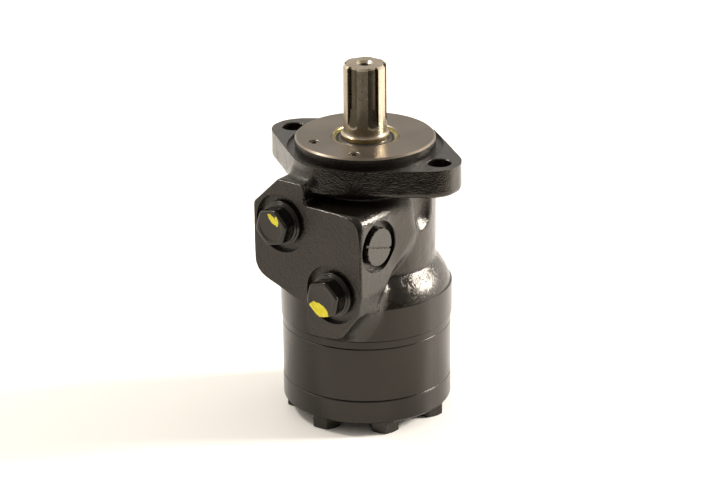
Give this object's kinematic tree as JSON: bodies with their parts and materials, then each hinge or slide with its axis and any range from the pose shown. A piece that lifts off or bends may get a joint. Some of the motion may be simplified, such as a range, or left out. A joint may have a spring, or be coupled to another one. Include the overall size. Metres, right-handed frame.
{
  "type": "hydraulic motor",
  "caption": "Orbital hydraulic motor with an oval bolt flange, round pilot, splined output shaft, side port block with plugged ports, and a stacked roller gear set under a bolted end cover.",
  "frame": {"origin": "centre of the flange's mounting face, on the shaft axis", "axes": "+Z out along the output shaft, +X through the two flange bolt holes towards the drain port's side, main ports open towards -Y"},
  "size_m": [0.13, 0.118, 0.215],
  "materials": {
    "black_enamel": "gloss black enamel over rough cast iron",
    "black_turned": "satin black enamel over turned iron",
    "bolt_steel": "black enamel over zinc-plated steel",
    "shaft_steel": "ground, lightly oiled steel",
    "bright_steel": "ground and polished bearing steel",
    "gear_steel": "ground gear steel",
    "dark_steel": "oiled dark steel",
    "yellow_zinc": "yellow zinc plating",
    "bearing_brass": "pressed brass cage",
    "seal_rubber": "matt nitrile rubber",
    "black_plastic": "moulded black polyethylene",
    "yellow_paint": "daubed yellow marking paint"
  },
  "bodies": {
    "motor_body": {"housing": "black_enamel", "spacer_plate": "black_turned", "gear_ring": "black_turned", "end_cover": "black_turned", "cover_bolts": "bolt_steel", "bolt_washers": "bolt_steel", "housing_seal_ring": "seal_rubber", "spacer_seal_ring": "seal_rubber", "cover_seal_ring": "seal_rubber", "shaft_seal_case": "yellow_zinc", "shaft_seal_lip": "seal_rubber", "seal_garter_spring": "bright_steel", "dust_seal": "seal_rubber", "thrust_race_fixed": "bright_steel", "check_valve_plugs": "dark_steel", "check_valve_seats": "bright_steel", "check_spring_a": "bright_steel", "check_spring_b": "bright_steel", "port_plug_a": "black_plastic", "port_plug_b": "black_plastic", "drain_plug": "black_plastic", "port_seal_rings": "seal_rubber", "drain_seal_ring": "seal_rubber"},
    "shaft": {"output_shaft": "shaft_steel", "thrust_race_turning": "bright_steel"},
    "thrust_bearing": {"thrust_cage": "bearing_brass", "thrust_needles": "bright_steel"},
    "orbit_carrier": {"cardan_stop_disc": "gear_steel"},
    "rotor_gear": {"rotor": "gear_steel"},
    "cardan": {"cardan_shaft": "gear_steel"},
    "check_ball_a_body": {"check_ball_a": "bright_steel"},
    "check_ball_b_body": {"check_ball_b": "bright_steel"},
    "roller_body_1": {"roller_1": "bright_steel"},
    "roller_body_2": {"roller_2": "bright_steel"},
    "roller_body_3": {"roller_3": "bright_steel"},
    "roller_body_4": {"roller_4": "bright_steel"},
    "roller_body_5": {"roller_5": "bright_steel"},
    "roller_body_6": {"roller_6": "bright_steel"},
    "roller_body_7": {"roller_7": "bright_steel"}
  },
  "joints": [
    {"name": "shaft_spin", "type": "hinge", "parent": "motor_body", "child": "shaft", "pos_m": [0, 0, 0], "axis": [0, 0, 1], "continuous": true},
    {"name": "bearing_spin", "type": "hinge", "parent": "motor_body", "child": "thrust_bearing", "pos_m": [0, 0, -0.013], "axis": [0, 0, 1], "continuous": true},
    {"name": "orbit", "type": "hinge", "parent": "motor_body", "child": "orbit_carrier", "pos_m": [0, 0, -0.126], "axis": [0, 0, 1], "continuous": true},
    {"name": "rotor_spin", "type": "hinge", "parent": "orbit_carrier", "child": "rotor_gear", "pos_m": [0.0013, -0.0027, -0.126], "axis": [0, 0, 1], "continuous": true},
    {"name": "cardan_spin", "type": "hinge", "parent": "orbit_carrier", "child": "cardan", "pos_m": [0, 0, -0.044], "axis": [-0.0163, 0.0338, 0.9993], "continuous": true},
    {"name": "roller_1_spin", "type": "hinge", "parent": "motor_body", "child": "roller_body_1", "pos_m": [0.01432, -0.02973, -0.126], "axis": [0, 0, 1], "continuous": true},
    {"name": "roller_2_spin", "type": "hinge", "parent": "motor_body", "child": "roller_body_2", "pos_m": [0.03217, -0.00734, -0.126], "axis": [0, 0, 1], "continuous": true},
    {"name": "roller_3_spin", "type": "hinge", "parent": "motor_body", "child": "roller_body_3", "pos_m": [0.0258, 0.02058, -0.126], "axis": [0, 0, 1], "continuous": true},
    {"name": "roller_4_spin", "type": "hinge", "parent": "motor_body", "child": "roller_body_4", "pos_m": [0, 0.033, -0.126], "axis": [0, 0, 1], "continuous": true},
    {"name": "roller_5_spin", "type": "hinge", "parent": "motor_body", "child": "roller_body_5", "pos_m": [-0.0258, 0.02058, -0.126], "axis": [0, 0, 1], "continuous": true},
    {"name": "roller_6_spin", "type": "hinge", "parent": "motor_body", "child": "roller_body_6", "pos_m": [-0.03217, -0.00734, -0.126], "axis": [0, 0, 1], "continuous": true},
    {"name": "roller_7_spin", "type": "hinge", "parent": "motor_body", "child": "roller_body_7", "pos_m": [-0.01432, -0.02973, -0.126], "axis": [0, 0, 1], "continuous": true},
    {"name": "check_a_lift", "type": "slide", "parent": "motor_body", "child": "check_ball_a_body", "axis": [0, 0, -1], "range_m": [0, 0.001], "stiffness_N_per_m": 150, "springref_m": -0.002, "deforming": ["check_spring_a"]},
    {"name": "check_b_lift", "type": "slide", "parent": "motor_body", "child": "check_ball_b_body", "axis": [0, 0, -1], "range_m": [0, 0.001], "stiffness_N_per_m": 150, "springref_m": -0.002, "deforming": ["check_spring_b"]}
  ],
  "couplings": [
    {"joint": "bearing_spin", "follows": "shaft_spin", "ratio": 0.5},
    {"joint": "orbit", "follows": "shaft_spin", "ratio": -6},
    {"joint": "rotor_spin", "follows": "shaft_spin", "ratio": 7},
    {"joint": "cardan_spin", "follows": "shaft_spin", "ratio": 7}
  ]
}
